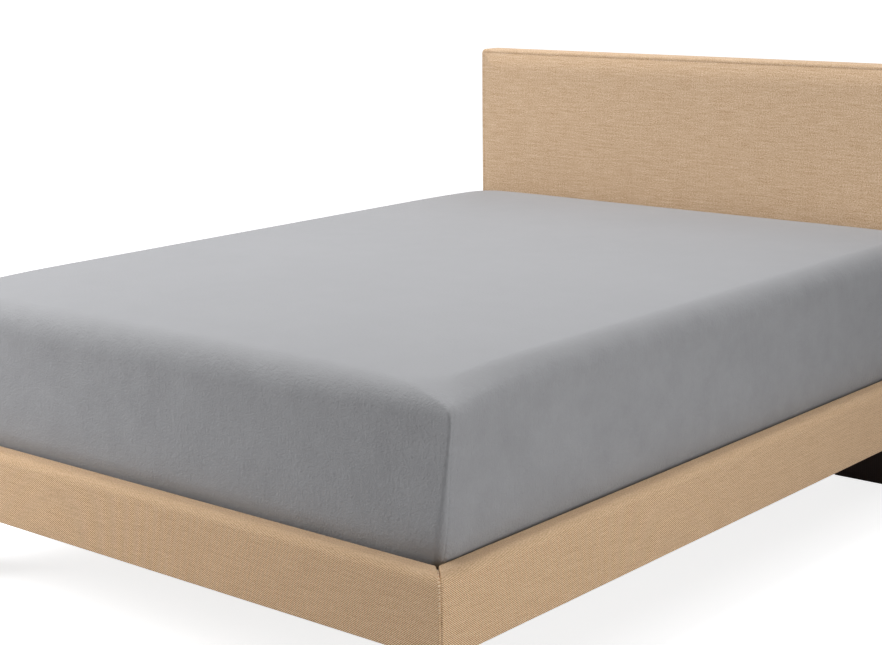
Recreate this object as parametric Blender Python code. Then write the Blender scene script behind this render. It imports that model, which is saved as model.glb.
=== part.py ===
"""Fitted sheet pulled tight over a thick mattress, in a low upholstered bed.

Metres, +Z up. +Y runs from the foot of the bed to the headboard, and +X to the right
of someone who stands at the foot. The origin is on the floor, under the middle of the
whole bed. The sheet is one piece of cloth: a top, four sides joined by a seam at each
corner, and a band with an elastic hem that turns in under the mattress.
"""
import math

import bmesh
import bpy
from mathutils import Vector

# Driving sizes -----------------------------------------------------------------------
MATTRESS_WIDTH = 1.530          # over the sheet, a standard queen size
MATTRESS_LENGTH = 2.030         # over the sheet
SHEET_RISE = 0.327              # top of the sheet above the rail tops
MATTRESS_SUNK = 0.029           # how far the slats lie below the rail tops
RAIL_HEIGHT = 0.159
RAIL_THICKNESS = 0.046
LEG_HEIGHT = 0.190
HEADBOARD_RISE = 0.740          # top of the headboard above the rail tops
HEADBOARD_THICKNESS = 0.080
SIDE_GAP = 0.006                # sheet to side rail
FOOT_GAP = 0.003                # sheet to foot rail
HEAD_GAP = 0.020                # sheet to headboard
CLEARANCE = 0.0003              # between pieces that touch

# Sheet
SHEET_THICKNESS = 0.0015
HEM_THICKNESS = 0.003
HEM_WIDTH = 0.012
RETURN_WIDTH = 0.095            # from the side of the mattress in to the hem
HEM_GATHER = 0.005              # how far the elastic draws the hem in and out
SIDE_EDGE_ROUND = 0.056         # radius over the long top edges and the head edge
FOOT_EDGE_ROUND = 0.064         # radius over the top edge at the foot
BOTTOM_EDGE_ROUND = 0.030
CORNER_ROUND_TOP = 0.095        # plan radius of the corners where the top begins
CORNER_ROUND_SIDE = 0.035       # plan radius of the upright corners
TOP_INSETS = (0.400, 0.230, 0.130)     # rings of the top, from its flat middle
CROWN_REACH = 0.360             # the top falls away from here to its edges
SIDE_CROWN = 0.006              # how far it has fallen at the sides and the head
FOOT_CROWN = 0.013              # how far it has fallen at the foot
SIDE_SWELL = 0.004              # how far the filling pushes the middle of a side out
SEAM_DEPTH = 0.0012             # the corner seams draw the cloth in
MATTRESS_CLEARANCE = 0.0006     # cloth to mattress

# Divisions of the sheet and the mattress
ARC_STEPS = 6                   # per corner, even so that the seam has a point
LONG_STEPS = 10
SHORT_STEPS = 8
ROLL_STEPS = 6                  # over the top edge
SIDE_STEPS = 4                  # down the sides
TURN_STEPS = 3                  # round the bottom edge

# Bed frame
RAIL_OUTER_ROUND = 0.020        # the padding rolls over the outer top edge
RAIL_INNER_ROUND = 0.006
RAIL_BOTTOM_ROUND = 0.005
RAIL_ROUND_STEPS = 5
MITRE_GAP = 0.0006
HEADBOARD_CORNER = 0.014        # radius of its corners, seen from the foot
HEADBOARD_EDGE = 0.012          # roll of its front and back edges
HEADBOARD_SIDE_GAP = 0.0008     # to the side rails that hold it
HEADBOARD_ROUND_STEPS = 4
LEG_SIDE_INSET = 0.030          # from the outside of the side rails
FOOT_LEG_WIDTH = 0.120
FOOT_LEG_DEPTH = 0.100
FOOT_LEG_INSET = 0.030          # from the outside of the foot rail
HEAD_LEG_WIDTH = 0.270
HEAD_LEG_DEPTH = 0.120
HEAD_LEG_INSET = 0.070          # from the back of the headboard
LEG_TAPER = 0.006               # taken off each side at the floor
BEARER_HEIGHT = 0.050
SLAT_COUNT = 12
SLAT_WIDTH = 0.070
SLAT_THICKNESS = 0.015
CLEAT_WIDTH = 0.025
CLEAT_HEIGHT = 0.040
CENTRE_BEAM_WIDTH = 0.045
CENTRE_LEG_WIDTH = 0.045
END_ROOM = 0.002                # short timber parts stop this far from the rails

# Worked out from the sizes above -----------------------------------------------------
RAIL_TOP = LEG_HEIGHT + RAIL_HEIGHT
SLAT_TOP = RAIL_TOP - MATTRESS_SUNK
SHEET_TOP = RAIL_TOP + SHEET_RISE
SHEET_BOTTOM = SLAT_TOP + CLEARANCE
INNER_HALF_WIDTH = MATTRESS_WIDTH / 2 + SIDE_GAP
HALF_WIDTH = INNER_HALF_WIDTH + RAIL_THICKNESS
FRAME_LENGTH = RAIL_THICKNESS + FOOT_GAP + MATTRESS_LENGTH + HEAD_GAP + HEADBOARD_THICKNESS
FOOT_OUTER_Y = -FRAME_LENGTH / 2
HEAD_OUTER_Y = FRAME_LENGTH / 2
FOOT_INNER_Y = FOOT_OUTER_Y + RAIL_THICKNESS
HEADBOARD_FRONT_Y = HEAD_OUTER_Y - HEADBOARD_THICKNESS
MATTRESS_FOOT_Y = FOOT_INNER_Y + FOOT_GAP
MATTRESS_HEAD_Y = MATTRESS_FOOT_Y + MATTRESS_LENGTH
HEADBOARD_HALF_WIDTH = INNER_HALF_WIDTH - HEADBOARD_SIDE_GAP
HEADBOARD_TOP = RAIL_TOP + HEADBOARD_RISE
SLAT_BOTTOM = SLAT_TOP - SLAT_THICKNESS
BEARER_TOP = LEG_HEIGHT + BEARER_HEIGHT
FOOT_LEG_Y = (FOOT_OUTER_Y + FOOT_LEG_INSET,
              FOOT_OUTER_Y + FOOT_LEG_INSET + FOOT_LEG_DEPTH)
HEAD_LEG_Y = (HEAD_OUTER_Y - HEAD_LEG_INSET - HEAD_LEG_DEPTH,
              HEAD_OUTER_Y - HEAD_LEG_INSET)


def clear_scene():
    for item in list(bpy.data.objects):
        bpy.data.objects.remove(item, do_unlink=True)


# Materials ---------------------------------------------------------------------------
def material(name, colour, roughness):
    finish = bpy.data.materials.new(name)
    finish.use_nodes = True
    shader = finish.node_tree.nodes["Principled BSDF"]
    shader.inputs["Base Color"].default_value = (*colour, 1.0)
    shader.inputs["Roughness"].default_value = roughness
    shader.inputs["Metallic"].default_value = 0.0
    return finish


def sheet_cloth():
    return material("sheet_cloth", (0.36, 0.36, 0.37), 0.95)


def mattress_ticking():
    return material("mattress_ticking", (0.78, 0.76, 0.72), 0.90)


def bed_upholstery():
    return material("bed_upholstery", (0.48, 0.33, 0.21), 0.90)


def leg_wood():
    return material("leg_wood", (0.022, 0.012, 0.011), 0.45)


def slat_wood():
    return material("slat_wood", (0.56, 0.40, 0.24), 0.60)


# Mesh helpers ------------------------------------------------------------------------
def add_object(name, mesh_data, finish):
    piece = bpy.data.objects.new(name, mesh_data)
    bpy.context.scene.collection.objects.link(piece)
    mesh_data.materials.append(finish)
    return piece


def mean_height(row):
    return sum(vertex.co.z for vertex in row) / len(row)


def loft(name, rings, finish):
    """A closed body through equal rings of points, capped at the first and the last.

    Each four-sided patch is cut from its higher row's point to its lower row's next
    point, so two surfaces that lie one inside the other bend along the same lines.
    """
    mesh = bmesh.new()
    rows = [[mesh.verts.new(point) for point in ring] for ring in rings]
    count = len(rows[0])
    for first, second in zip(rows, rows[1:]):
        falling = mean_height(first) >= mean_height(second)
        for i in range(count):
            j = (i + 1) % count
            if falling:
                mesh.faces.new((first[i], second[i], second[j]))
                mesh.faces.new((first[i], second[j], first[j]))
            else:
                mesh.faces.new((first[i], second[i], first[j]))
                mesh.faces.new((second[i], second[j], first[j]))
    mesh.faces.new(rows[0])
    mesh.faces.new(list(reversed(rows[-1])))
    bmesh.ops.recalc_face_normals(mesh, faces=mesh.faces)
    data = bpy.data.meshes.new(name)
    mesh.to_mesh(data)
    mesh.free()
    return add_object(name, data, finish)


def board(name, low, high, finish):
    """A square-edged timber part between two corners."""
    base = [(low[0], low[1]), (high[0], low[1]), (high[0], high[1]), (low[0], high[1])]
    rings = [[Vector((x, y, z)) for x, y in base] for z in (high[2], low[2])]
    return loft(name, rings, finish)


def arc(centre, radius, start, end, steps):
    """Points on a circle, angles in degrees, both ends included."""
    points = []
    for i in range(steps + 1):
        angle = math.radians(start + (end - start) * i / steps)
        points.append((centre[0] + radius * math.cos(angle),
                       centre[1] + radius * math.sin(angle)))
    return points


# Fitted sheet and mattress -----------------------------------------------------------
def plan_ring(inset_side, inset_foot, inset_head, radius):
    """Points around the mattress seen from above, with what the cloth does at each.

    Each entry is (x, y, outward x, outward y, swell, seam): swell is 0 at the corners
    and 1 halfway along a side, and seam is 1 on the corner seams.
    """
    x_right = MATTRESS_WIDTH / 2 - inset_side
    y_foot = MATTRESS_FOOT_Y + inset_foot
    y_head = MATTRESS_HEAD_Y - inset_head
    corners = (
        ((x_right - radius, y_foot + radius), -90),
        ((x_right - radius, y_head - radius), 0),
        ((-x_right + radius, y_head - radius), 90),
        ((-x_right + radius, y_foot + radius), 180),
    )
    ring = []
    for number, (centre, start) in enumerate(corners):
        bend = arc(centre, radius, start, start + 90, ARC_STEPS)
        for i, (x, y) in enumerate(bend):
            angle = math.radians(start + 90 * i / ARC_STEPS)
            seam = 1.0 if i == ARC_STEPS // 2 else 0.0
            ring.append((x, y, math.cos(angle), math.sin(angle), 0.0, seam))
        next_centre, next_start = corners[(number + 1) % 4]
        ahead = arc(next_centre, radius, next_start, next_start, 1)[0]
        behind = bend[-1]
        facing = math.radians(start + 90)
        steps = LONG_STEPS if number % 2 == 0 else SHORT_STEPS
        for i in range(1, steps):
            part = i / steps
            x = behind[0] + (ahead[0] - behind[0]) * part
            y = behind[1] + (ahead[1] - behind[1]) * part
            swell = math.sin(math.pi * part) ** 0.5
            ring.append((x, y, math.cos(facing), math.sin(facing), swell, 0.0))
    return ring


def fallen(distance):
    """Share of a crown's fall at a distance in from its side, 1.0 at the side."""
    return max(0.0, 1.0 - distance / CROWN_REACH) ** 2


def crown_drop(x, y):
    """How far the crowned top lies below its middle at a place on the bed."""
    beside = fallen(MATTRESS_WIDTH / 2 - abs(x)) + fallen(MATTRESS_HEAD_Y - y)
    return SIDE_CROWN * beside + FOOT_CROWN * fallen(y - MATTRESS_FOOT_Y)


def shifted(x, y, out_x, out_y, shift, z):
    return Vector((x + out_x * shift, y + out_y * shift, z))


def top_ring(plan, side_drop, foot_drop, draw_in):
    """A ring of the top or of its rolled edge, this far below the crowned top."""
    points = []
    for x, y, out_x, out_y, _, seam in plan:
        toward_foot = max(0.0, -out_y) ** 2
        drop = side_drop + (foot_drop - side_drop) * toward_foot
        z = SHEET_TOP - crown_drop(x, y) - drop
        points.append(shifted(x, y, out_x, out_y, -draw_in * seam, z))
    return points


def side_ring(plan, part, end, push_out):
    """A ring of the sides, part of the way from the rolled edge down to end."""
    points = []
    for x, y, out_x, out_y, swell, seam in plan:
        toward_foot = max(0.0, -out_y) ** 2
        edge = SIDE_EDGE_ROUND + (FOOT_EDGE_ROUND - SIDE_EDGE_ROUND) * toward_foot
        start = SHEET_TOP - crown_drop(x, y) - edge
        z = start + (end - start) * part
        shift = push_out * swell - SEAM_DEPTH * seam
        points.append(shifted(x, y, out_x, out_y, shift, z))
    return points


def level_ring(plan, z, draw_in):
    """A ring at one height, round the bottom edge."""
    return [shifted(x, y, out_x, out_y, -draw_in * seam, z)
            for x, y, out_x, out_y, _, seam in plan]


def covering(depth, under_depth):
    """Rings down a surface that lies depth inside the sheet's outer face.

    They run from the flat middle of the top, over the rolled edge and down the sides,
    to the end of the bottom edge's turn. Under the mattress the depth is under_depth.
    """
    rings = []
    for inset in TOP_INSETS:
        plan = plan_ring(inset, inset, inset, CORNER_ROUND_TOP)
        rings.append(top_ring(plan, depth, depth, 0.0))

    for step in range(ROLL_STEPS + 1):
        angle = math.radians(90 * step / ROLL_STEPS)
        side_in = SIDE_EDGE_ROUND - (SIDE_EDGE_ROUND - depth) * math.sin(angle)
        foot_in = FOOT_EDGE_ROUND - (FOOT_EDGE_ROUND - depth) * math.sin(angle)
        side_drop = SIDE_EDGE_ROUND - (SIDE_EDGE_ROUND - depth) * math.cos(angle)
        foot_drop = FOOT_EDGE_ROUND - (FOOT_EDGE_ROUND - depth) * math.cos(angle)
        radius = CORNER_ROUND_SIDE - depth * math.sin(angle)
        radius += (CORNER_ROUND_TOP - CORNER_ROUND_SIDE) * (1 - math.sin(angle))
        plan = plan_ring(side_in, foot_in, side_in, radius)
        drawn = SEAM_DEPTH * math.sin(angle) ** 2
        rings.append(top_ring(plan, side_drop, foot_drop, drawn))

    end = SHEET_BOTTOM + BOTTOM_EDGE_ROUND
    plan = plan_ring(depth, depth, depth, CORNER_ROUND_SIDE - depth)
    for step in range(1, SIDE_STEPS + 1):
        part = step / SIDE_STEPS
        rings.append(side_ring(plan, part, end, SIDE_SWELL * math.sin(math.pi * part)))

    for step in range(1, TURN_STEPS + 1):
        angle = math.radians(90 * step / TURN_STEPS)
        inset = BOTTOM_EDGE_ROUND - (BOTTOM_EDGE_ROUND - depth) * math.cos(angle)
        z = end - (BOTTOM_EDGE_ROUND - under_depth) * math.sin(angle)
        plan = plan_ring(inset, inset, inset, CORNER_ROUND_SIDE - depth * math.cos(angle))
        rings.append(level_ring(plan, z, SEAM_DEPTH * math.cos(angle) ** 2))
    return rings


def hem_ring(inset, z, gather):
    """A ring of the band under the mattress, drawn in and out by the elastic."""
    points = []
    for i, (x, y, out_x, out_y, _, _) in enumerate(
            plan_ring(inset, inset, inset, CORNER_ROUND_SIDE)):
        shift = gather if i % 2 == 0 else -gather
        points.append(Vector((x + out_x * shift, y + out_y * shift, z)))
    return points


def fitted_sheet():
    """One piece of cloth, closed as a thin shell with the hem thicker."""
    hem_start = RETURN_WIDTH - HEM_WIDTH
    outer = covering(0.0, 0.0)
    outer.append(hem_ring(hem_start, SHEET_BOTTOM, HEM_GATHER))
    outer.append(hem_ring(RETURN_WIDTH, SHEET_BOTTOM, HEM_GATHER))
    inner = covering(SHEET_THICKNESS, SHEET_THICKNESS)
    inner.append(hem_ring(hem_start, SHEET_BOTTOM + SHEET_THICKNESS, HEM_GATHER))
    inner.append(hem_ring(RETURN_WIDTH, SHEET_BOTTOM + HEM_THICKNESS, HEM_GATHER))
    return loft("fitted_sheet", outer + inner[::-1], sheet_cloth())


def mattress():
    """The mattress inside the sheet; its underside clears the thicker hem."""
    depth = SHEET_THICKNESS + MATTRESS_CLEARANCE
    under_depth = HEM_THICKNESS + MATTRESS_CLEARANCE
    return loft("mattress", covering(depth, under_depth), mattress_ticking())


# Bed frame ---------------------------------------------------------------------------
def rail_profile():
    """Section of a padded rail as (distance out from its inner face, height)."""
    inner_centre = (RAIL_INNER_ROUND, RAIL_TOP - RAIL_INNER_ROUND)
    outer_centre = (RAIL_THICKNESS - RAIL_OUTER_ROUND, RAIL_TOP - RAIL_OUTER_ROUND)
    low_centre = (RAIL_THICKNESS - RAIL_BOTTOM_ROUND, LEG_HEIGHT + RAIL_BOTTOM_ROUND)
    inner_top = arc(inner_centre, RAIL_INNER_ROUND, 180, 90, RAIL_ROUND_STEPS)
    outer_top = arc(outer_centre, RAIL_OUTER_ROUND, 90, 0, RAIL_ROUND_STEPS)
    outer_low = arc(low_centre, RAIL_BOTTOM_ROUND, 0, -90, RAIL_ROUND_STEPS)
    return [(0.0, LEG_HEIGHT)] + inner_top + outer_top + outer_low


def foot_rail(finish):
    """Across the foot, mitred at both ends to meet the side rails."""
    rings = []
    for side in (-1, 1):
        ring = []
        for out, z in rail_profile():
            x = side * (INNER_HALF_WIDTH + out - MITRE_GAP)
            ring.append(Vector((x, FOOT_INNER_Y - out, z)))
        rings.append(ring)
    return loft("foot_rail", rings, finish)


def side_rail(name, side, finish):
    """Along one side, mitred at the foot and square at the head."""
    foot_end = []
    head_end = []
    for out, z in rail_profile():
        x = side * (INNER_HALF_WIDTH + out)
        foot_end.append(Vector((x, FOOT_INNER_Y - out + MITRE_GAP, z)))
        head_end.append(Vector((x, HEAD_OUTER_Y, z)))
    return loft(name, [foot_end, head_end], finish)


def headboard_outline(inset):
    """The panel's outline seen from the foot, drawn in all round by inset."""
    half = HEADBOARD_HALF_WIDTH - inset
    radius = HEADBOARD_CORNER - inset
    low = LEG_HEIGHT + inset + radius
    high = HEADBOARD_TOP - inset - radius
    across = half - radius
    outline = []
    for centre, start in (
        ((across, low), -90),
        ((across, high), 0),
        ((-across, high), 90),
        ((-across, low), 180),
    ):
        outline += arc(centre, radius, start, start + 90, HEADBOARD_ROUND_STEPS)
    return outline


def headboard(finish):
    """A padded panel between the side rails, from their underside up to its top."""
    rolls = []
    for step in range(HEADBOARD_ROUND_STEPS + 1):
        angle = math.radians(90 * step / HEADBOARD_ROUND_STEPS)
        inset = HEADBOARD_EDGE * (1 - math.sin(angle))
        back = HEADBOARD_EDGE * (1 - math.cos(angle))
        rolls.append((inset, back))
    sections = [(inset, HEADBOARD_FRONT_Y + back) for inset, back in rolls]
    sections += [(inset, HEAD_OUTER_Y - back) for inset, back in reversed(rolls)]
    rings = []
    for inset, y in sections:
        rings.append([Vector((x, y, z)) for x, z in headboard_outline(inset)])
    return loft("headboard", rings, finish)


def leg(name, side, width, y_span, finish):
    """A wide block foot, a little narrower at the floor."""
    x_out = side * (HALF_WIDTH - LEG_SIDE_INSET)
    x_in = x_out - side * width
    x_low, x_high = min(x_out, x_in), max(x_out, x_in)
    y_low, y_high = y_span
    rings = []
    for z, taper in ((LEG_HEIGHT - CLEARANCE, 0.0), (0.0, LEG_TAPER)):
        rings.append([
            Vector((x_low + taper, y_low + taper, z)),
            Vector((x_high - taper, y_low + taper, z)),
            Vector((x_high - taper, y_high - taper, z)),
            Vector((x_low + taper, y_high - taper, z)),
        ])
    return loft(name, rings, finish)


def legs(finish):
    for side, side_name in ((-1, "left"), (1, "right")):
        leg(f"leg_foot_{side_name}", side, FOOT_LEG_WIDTH, FOOT_LEG_Y, finish)
        leg(f"leg_head_{side_name}", side, HEAD_LEG_WIDTH, HEAD_LEG_Y, finish)


def bearers(finish):
    """Cross timbers at the foot and the head that the legs are bolted under."""
    reach = INNER_HALF_WIDTH - END_ROOM
    foot_span = (FOOT_INNER_Y + END_ROOM, FOOT_LEG_Y[1])
    head_span = (HEAD_LEG_Y[0], HEADBOARD_FRONT_Y - END_ROOM)
    for name, (y_low, y_high) in (("bearer_foot", foot_span), ("bearer_head", head_span)):
        board(name, (-reach, y_low, LEG_HEIGHT), (reach, y_high, BEARER_TOP), finish)


def centre_support(finish, leg_finish):
    """The beam under the middle of the slats, lying on the bearers, and its leg."""
    half = CENTRE_BEAM_WIDTH / 2
    y_low = FOOT_INNER_Y + END_ROOM
    y_high = HEADBOARD_FRONT_Y - END_ROOM
    board("centre_beam", (-half, y_low, BEARER_TOP + CLEARANCE),
          (half, y_high, SLAT_BOTTOM - CLEARANCE), finish)
    half = CENTRE_LEG_WIDTH / 2
    board("centre_leg", (-half, -half, 0.0), (half, half, BEARER_TOP), leg_finish)


def cleats(finish):
    """Ledges screwed inside the side rails for the ends of the slats."""
    y_low = FOOT_INNER_Y + END_ROOM
    y_high = HEADBOARD_FRONT_Y - END_ROOM
    top = SLAT_BOTTOM - CLEARANCE
    for side, name in ((-1, "cleat_left"), (1, "cleat_right")):
        x_out = side * (INNER_HALF_WIDTH - CLEARANCE)
        x_in = x_out - side * CLEAT_WIDTH
        board(name, (min(x_out, x_in), y_low, top - CLEAT_HEIGHT),
              (max(x_out, x_in), y_high, top), finish)


def slats(finish):
    reach = INNER_HALF_WIDTH - END_ROOM
    first = FOOT_INNER_Y + SLAT_WIDTH
    last = HEADBOARD_FRONT_Y - SLAT_WIDTH
    for i in range(SLAT_COUNT):
        y = first + (last - first) * i / (SLAT_COUNT - 1)
        board(f"slat_{i + 1:02d}", (-reach, y - SLAT_WIDTH / 2, SLAT_BOTTOM),
              (reach, y + SLAT_WIDTH / 2, SLAT_TOP), finish)


def shade_pieces(angle):
    """Smooth shading over the rounded pieces, sharp where faces truly meet."""
    for piece in bpy.data.objects:
        piece.data.shade_smooth()
        piece.data.set_sharp_from_angle(angle=angle)


def build():
    clear_scene()
    cloth = bed_upholstery()
    timber = slat_wood()
    dark = leg_wood()
    fitted_sheet()
    mattress()
    foot_rail(cloth)
    side_rail("side_rail_left", -1, cloth)
    side_rail("side_rail_right", 1, cloth)
    headboard(cloth)
    legs(dark)
    bearers(timber)
    centre_support(timber, dark)
    cleats(timber)
    slats(timber)
    shade_pieces(math.radians(40))


build()
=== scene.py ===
import math

import bpy
import numpy as np
from mathutils import Matrix, Vector, noise


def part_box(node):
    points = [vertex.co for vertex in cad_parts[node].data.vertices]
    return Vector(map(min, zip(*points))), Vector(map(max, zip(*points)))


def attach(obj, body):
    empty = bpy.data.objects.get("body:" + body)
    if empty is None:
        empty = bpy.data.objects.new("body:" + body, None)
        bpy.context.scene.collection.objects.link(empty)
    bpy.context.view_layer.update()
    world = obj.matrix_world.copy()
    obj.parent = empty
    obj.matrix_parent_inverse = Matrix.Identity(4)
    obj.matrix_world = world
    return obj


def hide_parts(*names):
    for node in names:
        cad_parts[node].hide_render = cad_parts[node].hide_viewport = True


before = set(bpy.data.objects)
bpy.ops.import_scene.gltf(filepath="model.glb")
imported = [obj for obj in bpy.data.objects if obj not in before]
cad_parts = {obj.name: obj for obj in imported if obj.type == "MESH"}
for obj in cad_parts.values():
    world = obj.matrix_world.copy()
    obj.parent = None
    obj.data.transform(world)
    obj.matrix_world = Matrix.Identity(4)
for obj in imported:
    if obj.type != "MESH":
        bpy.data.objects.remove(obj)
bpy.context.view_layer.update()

# Sizes read from the frame -----------------------------------------------------------
SHEET_LOW, SHEET_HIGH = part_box("fitted_sheet")
SIDE_LOW, SIDE_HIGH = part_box("side_rail_right")
FOOT_LOW, FOOT_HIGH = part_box("foot_rail")
BOARD_LOW, BOARD_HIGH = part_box("headboard")

# Fitted sheet, metres
SIDE_SWELL = 0.004              # how far the filling pushes the middle of a side out
HALF_WIDTH = SHEET_HIGH.x - SIDE_SWELL
FOOT_Y = SHEET_LOW.y + SIDE_SWELL
HEAD_Y = SHEET_HIGH.y - SIDE_SWELL
SHEET_TOP = SHEET_HIGH.z
SHEET_BOTTOM = SHEET_LOW.z
RAIL_TOP = SIDE_HIGH.z
CLOTH_THICKNESS = 0.0015
HEM_THICKNESS = 0.003
HEM_WIDTH = 0.012
RETURN_WIDTH = 0.095            # from the side of the mattress to the hem's inner edge
HEM_GATHER = 0.004              # how far the elastic draws the hem in and lets it out
HEM_GATHER_SIZE = 0.018
SIDE_EDGE_ROUND = 0.056
FOOT_EDGE_ROUND = 0.064
BOTTOM_EDGE_ROUND = 0.030
CROWN_REACH = 0.360             # the top falls away from here to its edges
SIDE_CROWN = 0.006              # how far it has fallen at the sides and the head
FOOT_CROWN = 0.013              # how far it has fallen at the foot
CORNER_ROUND_TOP = 0.095        # plan radius of a corner where the top begins
CORNER_ROUND_SEAM = 0.004       # plan radius at the top end of a corner seam
CORNER_ROUND_LOW = 0.026        # plan radius at the bottom of the sides
SEAM_TOP_ANGLE = 56.0           # degrees into the rolled edge where a corner seam starts
SEAM_DEEPENS_OVER = 8.0         # degrees
SEAM_LEAN_TOP = 0.005           # the seam stands this far round towards the long side
SEAM_LEAN_LOW = 0.014
EAR_PUSH = 0.045                # a corner stands out sideways at the top of its seam
EAR_PUSH_LOW = 0.009            # and where the rail hides it
EAR_REACH = 0.130               # how far along the long side the ear dies away
FLARE_REACH = 0.320             # the slower part of the same
FLARE_SHARE = 0.6               # of the whole push
EAR_WIDTH = 0.10                # how far across the bed both die away
EAR_TOP = 0.004                 # it starts this far below the top of the bed
EAR_TOP_FADE = 0.036
EAR_FOOT = 0.022                # it ends this far below the top of the rails
EAR_FOOT_FADE = 0.030
TUCK_DEPTH = 0.009              # the lower corners are drawn in under the mattress
TUCK_HEIGHT = 0.090
TUCK_REACH = 0.080
TUCK_NARROWING = 2.5            # it reaches this much less far from the short sides
END_TUCK = 0.0050               # the lower edge of the short sides is drawn in by this
SIDE_TUCK = 0.0012              # and that of the long sides
EDGE_TUCK_HEIGHT = 0.036        # above the rails, where that starts
EDGE_TUCK_FADE = 0.048
TUCK_CHANGE = 0.06              # round a corner, from one of them to the other
TIGHTER_BY = 0.018              # the short sides' edges roll tighter near a corner
TIGHT_REACH = 0.260
TIGHT_FADE = 0.15               # in over the top
SEAM_DEPTH = 0.0011
SEAM_WIDTH = 0.0019
PUCKER_SPACING = 0.011
PUCKER_HEIGHT = 0.0006
PUCKER_PLACE = 0.007            # beside the seam
PUCKER_WANDER = 5.0             # radians that the puckers stray from their spacing
PUCKER_WANDER_SIZE = 0.04
PEAK_HEIGHT = 0.003             # the pulled point of cloth at the top of a corner seam
PEAK_DROP = 0.040               # below the middle of the top
PEAK_WIDTH = 0.012
PEAK_TALL = 0.022
SLACK = 0.0010                  # slow waves in the sides
SLACK_SIZE = 0.30
SLACK_TOP = 0.010               # they start this far below the top of the bed
SLACK_FADE = 0.030

# Where the rings and the columns of the sheet lie
TOP_INSETS = (0.60, 0.51, 0.43, 0.35, 0.28, 0.22, 0.17, 0.13)
ROLL_STEPS = 22
SIDE_STEPS = 80
TURN_STEPS = 6
SEAM_OFFSETS = (0.0, 0.0015, 0.003, 0.0045, 0.0065, 0.009, 0.012, 0.0155, 0.0195,
                0.024, 0.029, 0.035, 0.042, 0.050, 0.060, 0.072, 0.086, 0.105)
LONG_COLUMNS = 34
FOOT_COLUMNS = 60
HEAD_COLUMNS = 26
COLUMN_CROWDING = 0.10          # the columns crowd toward the corners
MATTRESS_EAR_SHARE = 0.7        # how far the mattress follows the sheet's corners out
MATTRESS_GAP = 0.004            # between the mattress and the inside of the sheet
MATTRESS_LIFT = 0.001           # of the mattress over the hem

# Upholstered frame, metres
RAIL_LOW = SIDE_LOW.z
RAIL_INNER_X = SIDE_LOW.x
RAIL_THICKNESS = SIDE_HIGH.x - SIDE_LOW.x
RAIL_OUTER_ROUND = 0.020
RAIL_INNER_ROUND = 0.006
RAIL_BOTTOM_ROUND = 0.005
RAIL_SWELL = 0.0012
RAIL_SLACK = 0.0006             # slow waves in the covers of the rails
RAIL_SLACK_SIZE = 0.12
RAIL_STEPS = 48                 # along a rail
MITRE_GAP = 0.0015              # of each cover from the middle of the mitre seam
MITRE_ROLL = 0.0030             # the cover rolls into the mitre seam
MITRE_DEPTH = 0.0110
MITRE_FLAT = 0.0042             # the cover lies flat from here on
MITRE_STEPS = 5
STITCH_SPACING = 0.0062         # along the mitre seam
STITCH_REACH = 0.0062           # from the seam onto the foot rail
STITCH_SLANT = 0.0030
STITCHED_FROM = 0.018           # from the inner edge of the rail's top, round the bend
STITCHED_TO = 0.100
THREAD_RADIUS = 0.0010
THREAD_LIFT = 0.0010            # of the middle of a stitch over the cover
THREAD_EDGE_LIFT = 0.0006       # and where it comes over the edge of the seam
THREAD_SINK = 0.0016            # where its end goes into the cover
HEADBOARD_CORNER = 0.014
HEADBOARD_EDGE = 0.012          # round of the back edge; the front swells from here in
HEADBOARD_SWELL = 0.010         # of the padded front over its border
HEADBOARD_SWELL_REACH = 0.050
HEADBOARD_SET_BACK = 0.005      # of the border, from the front of the solid
HEADBOARD_FLAT_FADE = 0.07      # height above the rails over which the swell starts
HEADBOARD_ROLL = 0.008          # of the front's border, above its seam
HEADBOARD_SEAM_INSET = 0.0115
HEADBOARD_SEAM_WIDTH = 0.0020
HEADBOARD_SEAM_DEPTH = 0.0009
HEADBOARD_SLACK = 0.0007
HEADBOARD_SLACK_SIZE = 0.22
HEADBOARD_FOLD = 0.02           # the cloth folds back within this of the outline
BOARD_STEPS_ACROSS = 16
BOARD_STEPS_UP = 40
FRONT_INSETS = (0.24, 0.19, 0.14, 0.10, 0.076, 0.062, 0.054, 0.046, 0.038, 0.031, 0.025,
                0.020, 0.0165)
SEAM_STATIONS = (-2.0, -1.2, -0.6, 0.0, 0.6, 1.2)
BACK_INSET = 0.10
LEG_ROUND = 0.003
LEG_TAPER = 0.006               # narrower at the floor on each side
LEG_FOOT_EDGE = 0.004           # height of the eased edge at the floor
LEG_TOP_EDGE = 0.001

# Colours
SHEET_GREY = (0.352, 0.354, 0.366)
SHEET_SHEEN = (0.9, 0.92, 1.0, 1.0)
RAIL_WHEAT = (0.775, 0.518, 0.299)
BOARD_WHEAT = (0.622, 0.437, 0.280)
THREAD_DEPTHS = (0.70, 1.0, 1.40)    # how deep red, green and blue go in a dark thread
TICKING_WHITE = (0.78, 0.76, 0.72)
OAK_BROWN = (0.022, 0.012, 0.010)
BIRCH_PALE = (0.56, 0.40, 0.24)
STITCH_CREAM = (0.96, 0.78, 0.57)
FLOOR_GREY = (0.55, 0.55, 0.56, 1.0)
STUDIO_WHITE = (1.0, 1.0, 1.0, 1.0)

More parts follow.
